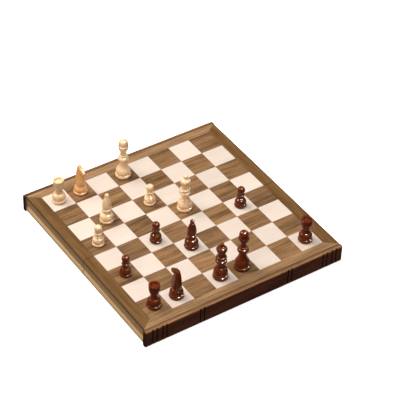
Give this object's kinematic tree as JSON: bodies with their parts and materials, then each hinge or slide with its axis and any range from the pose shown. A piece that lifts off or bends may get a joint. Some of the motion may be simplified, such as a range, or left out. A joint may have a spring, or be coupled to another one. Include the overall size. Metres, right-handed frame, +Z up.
{
  "type": "folding chess set",
  "caption": "Book-shaped folding chess case lying open with its inlaid board up, turned and carved chessmen standing on it and the captured men in foam recesses inside.",
  "frame": {"origin": "on the table under the middle of the open board", "axes": "+X along the fold, +Y across it towards the half with the light men, +Z up"},
  "size_m": [0.3374, 0.339, 0.0985],
  "materials": {
    "maple_veneer": "satin",
    "walnut_veneer": "satin",
    "walnut_border": "satin",
    "walnut_spine": "satin",
    "page_wood": "satin",
    "plywood": "matte",
    "boxwood": "satin",
    "stained_wood": "gloss",
    "black_foam": "matte",
    "felt": "matte",
    "brass": "satin",
    "magnet_steel": "satin"
  },
  "bodies": {
    "near_half": {"near_panel": "plywood", "near_light_squares": "maple_veneer", "near_dark_squares": "walnut_veneer", "near_border": "walnut_border", "near_spine_facing": "walnut_spine", "near_front_wall": "page_wood", "near_page_rail_left": "page_wood", "near_page_rail_right": "page_wood", "near_hinge_rail": "page_wood", "near_foam_insert": "black_foam", "near_magnets": "magnet_steel", "near_hinge_screws": "brass", "near_hinge_leaves": "brass", "hinge_pins": "brass"},
    "far_half": {"far_panel": "plywood", "far_light_squares": "maple_veneer", "far_dark_squares": "walnut_veneer", "far_border": "walnut_border", "far_spine_facing": "walnut_spine", "far_front_wall": "page_wood", "far_page_rail_left": "page_wood", "far_page_rail_right": "page_wood", "far_hinge_rail": "page_wood", "far_foam_insert": "black_foam", "far_magnets": "magnet_steel", "far_hinge_screws": "brass", "far_hinge_leaves": "brass"},
    "light_rook_1": {"light_rook_1": "boxwood"},
    "light_knight_1": {"light_knight_1": "boxwood"},
    "light_bishop_1": {"light_bishop_1": "boxwood"},
    "light_queen": {"light_queen": "boxwood"},
    "light_king": {"light_king": "boxwood"},
    "light_bishop_2": {"light_bishop_2": "boxwood"},
    "light_knight_2": {"light_knight_2": "boxwood"},
    "light_rook_2": {"light_rook_2": "boxwood"},
    "light_pawn_1": {"light_pawn_1": "boxwood"},
    "light_pawn_2": {"light_pawn_2": "boxwood"},
    "light_pawn_3": {"light_pawn_3": "boxwood"},
    "light_pawn_4": {"light_pawn_4": "boxwood"},
    "light_pawn_5": {"light_pawn_5": "boxwood"},
    "light_pawn_6": {"light_pawn_6": "boxwood"},
    "light_pawn_7": {"light_pawn_7": "boxwood"},
    "light_pawn_8": {"light_pawn_8": "boxwood"},
    "dark_rook_1": {"dark_rook_1": "stained_wood"},
    "dark_knight_1": {"dark_knight_1": "stained_wood"},
    "dark_bishop_1": {"dark_bishop_1": "stained_wood"},
    "dark_queen": {"dark_queen": "stained_wood"},
    "dark_king": {"dark_king": "stained_wood"},
    "dark_bishop_2": {"dark_bishop_2": "stained_wood"},
    "dark_knight_2": {"dark_knight_2": "stained_wood"},
    "dark_rook_2": {"dark_rook_2": "stained_wood"},
    "dark_pawn_1": {"dark_pawn_1": "stained_wood"},
    "dark_pawn_2": {"dark_pawn_2": "stained_wood"},
    "dark_pawn_3": {"dark_pawn_3": "stained_wood"},
    "dark_pawn_4": {"dark_pawn_4": "stained_wood"},
    "dark_pawn_5": {"dark_pawn_5": "stained_wood"},
    "dark_pawn_6": {"dark_pawn_6": "stained_wood"},
    "dark_pawn_7": {"dark_pawn_7": "stained_wood"},
    "dark_pawn_8": {"dark_pawn_8": "stained_wood"}
  },
  "joints": [
    {"name": "board_fold", "type": "hinge", "parent": "near_half", "child": "far_half", "pos_m": [0, 0, 0.0015], "axis": [-1, 0, 0], "range_deg": [0, 180]},
    {"name": "light_rook_1_lift", "type": "slide", "parent": "far_half", "child": "light_rook_1", "axis": [0, 0, 1], "range_m": [0, 0.08]},
    {"name": "light_knight_1_lift", "type": "slide", "parent": "far_half", "child": "light_knight_1", "axis": [0, 0, 1], "range_m": [0, 0.08]},
    {"name": "light_bishop_1_lift", "type": "slide", "parent": "far_half", "child": "light_bishop_1", "axis": [0, 0, 1], "range_m": [0, 0.08]},
    {"name": "light_queen_lift", "type": "slide", "parent": "far_half", "child": "light_queen", "axis": [0, 0, 1], "range_m": [0, 0.08]},
    {"name": "light_king_lift", "type": "slide", "parent": "far_half", "child": "light_king", "axis": [0, 0, 1], "range_m": [0, 0.08]},
    {"name": "light_bishop_2_lift", "type": "slide", "parent": "far_half", "child": "light_bishop_2", "axis": [0, 0, 1], "range_m": [-0.03, 0]},
    {"name": "light_knight_2_lift", "type": "slide", "parent": "far_half", "child": "light_knight_2", "axis": [0, 0, 1], "range_m": [-0.03, 0]},
    {"name": "light_rook_2_lift", "type": "slide", "parent": "far_half", "child": "light_rook_2", "axis": [0, 0, 1], "range_m": [-0.03, 0]},
    {"name": "light_pawn_1_lift", "type": "slide", "parent": "far_half", "child": "light_pawn_1", "axis": [0, 0, 1], "range_m": [0, 0.08]},
    {"name": "light_pawn_2_lift", "type": "slide", "parent": "far_half", "child": "light_pawn_2", "axis": [0, 0, 1], "range_m": [0, 0.08]},
    {"name": "light_pawn_3_lift", "type": "slide", "parent": "far_half", "child": "light_pawn_3", "axis": [0, 0, 1], "range_m": [-0.03, 0]},
    {"name": "light_pawn_4_lift", "type": "slide", "parent": "far_half", "child": "light_pawn_4", "axis": [0, 0, 1], "range_m": [-0.03, 0]},
    {"name": "light_pawn_5_lift", "type": "slide", "parent": "far_half", "child": "light_pawn_5", "axis": [0, 0, 1], "range_m": [-0.03, 0]},
    {"name": "light_pawn_6_lift", "type": "slide", "parent": "far_half", "child": "light_pawn_6", "axis": [0, 0, 1], "range_m": [-0.03, 0]},
    {"name": "light_pawn_7_lift", "type": "slide", "parent": "far_half", "child": "light_pawn_7", "axis": [0, 0, 1], "range_m": [-0.03, 0]},
    {"name": "light_pawn_8_lift", "type": "slide", "parent": "far_half", "child": "light_pawn_8", "axis": [0, 0, 1], "range_m": [-0.03, 0]},
    {"name": "dark_rook_1_lift", "type": "slide", "parent": "near_half", "child": "dark_rook_1", "axis": [0, 0, 1], "range_m": [0, 0.08]},
    {"name": "dark_knight_1_lift", "type": "slide", "parent": "near_half", "child": "dark_knight_1", "axis": [0, 0, 1], "range_m": [0, 0.08]},
    {"name": "dark_bishop_1_lift", "type": "slide", "parent": "near_half", "child": "dark_bishop_1", "axis": [0, 0, 1], "range_m": [0, 0.08]},
    {"name": "dark_queen_lift", "type": "slide", "parent": "near_half", "child": "dark_queen", "axis": [0, 0, 1], "range_m": [0, 0.08]},
    {"name": "dark_king_lift", "type": "slide", "parent": "near_half", "child": "dark_king", "axis": [0, 0, 1], "range_m": [0, 0.08]},
    {"name": "dark_bishop_2_lift", "type": "slide", "parent": "near_half", "child": "dark_bishop_2", "axis": [0, 0, 1], "range_m": [-0.03, 0]},
    {"name": "dark_knight_2_lift", "type": "slide", "parent": "near_half", "child": "dark_knight_2", "axis": [0, 0, 1], "range_m": [-0.03, 0]},
    {"name": "dark_rook_2_lift", "type": "slide", "parent": "near_half", "child": "dark_rook_2", "axis": [0, 0, 1], "range_m": [0, 0.08]},
    {"name": "dark_pawn_1_lift", "type": "slide", "parent": "near_half", "child": "dark_pawn_1", "axis": [0, 0, 1], "range_m": [0, 0.08]},
    {"name": "dark_pawn_2_lift", "type": "slide", "parent": "near_half", "child": "dark_pawn_2", "axis": [0, 0, 1], "range_m": [0, 0.08]},
    {"name": "dark_pawn_3_lift", "type": "slide", "parent": "near_half", "child": "dark_pawn_3", "axis": [0, 0, 1], "range_m": [0, 0.08]},
    {"name": "dark_pawn_4_lift", "type": "slide", "parent": "near_half", "child": "dark_pawn_4", "axis": [0, 0, 1], "range_m": [-0.03, 0]},
    {"name": "dark_pawn_5_lift", "type": "slide", "parent": "near_half", "child": "dark_pawn_5", "axis": [0, 0, 1], "range_m": [-0.03, 0]},
    {"name": "dark_pawn_6_lift", "type": "slide", "parent": "near_half", "child": "dark_pawn_6", "axis": [0, 0, 1], "range_m": [-0.03, 0]},
    {"name": "dark_pawn_7_lift", "type": "slide", "parent": "near_half", "child": "dark_pawn_7", "axis": [0, 0, 1], "range_m": [-0.03, 0]},
    {"name": "dark_pawn_8_lift", "type": "slide", "parent": "near_half", "child": "dark_pawn_8", "axis": [0, 0, 1], "range_m": [-0.03, 0]}
  ]
}
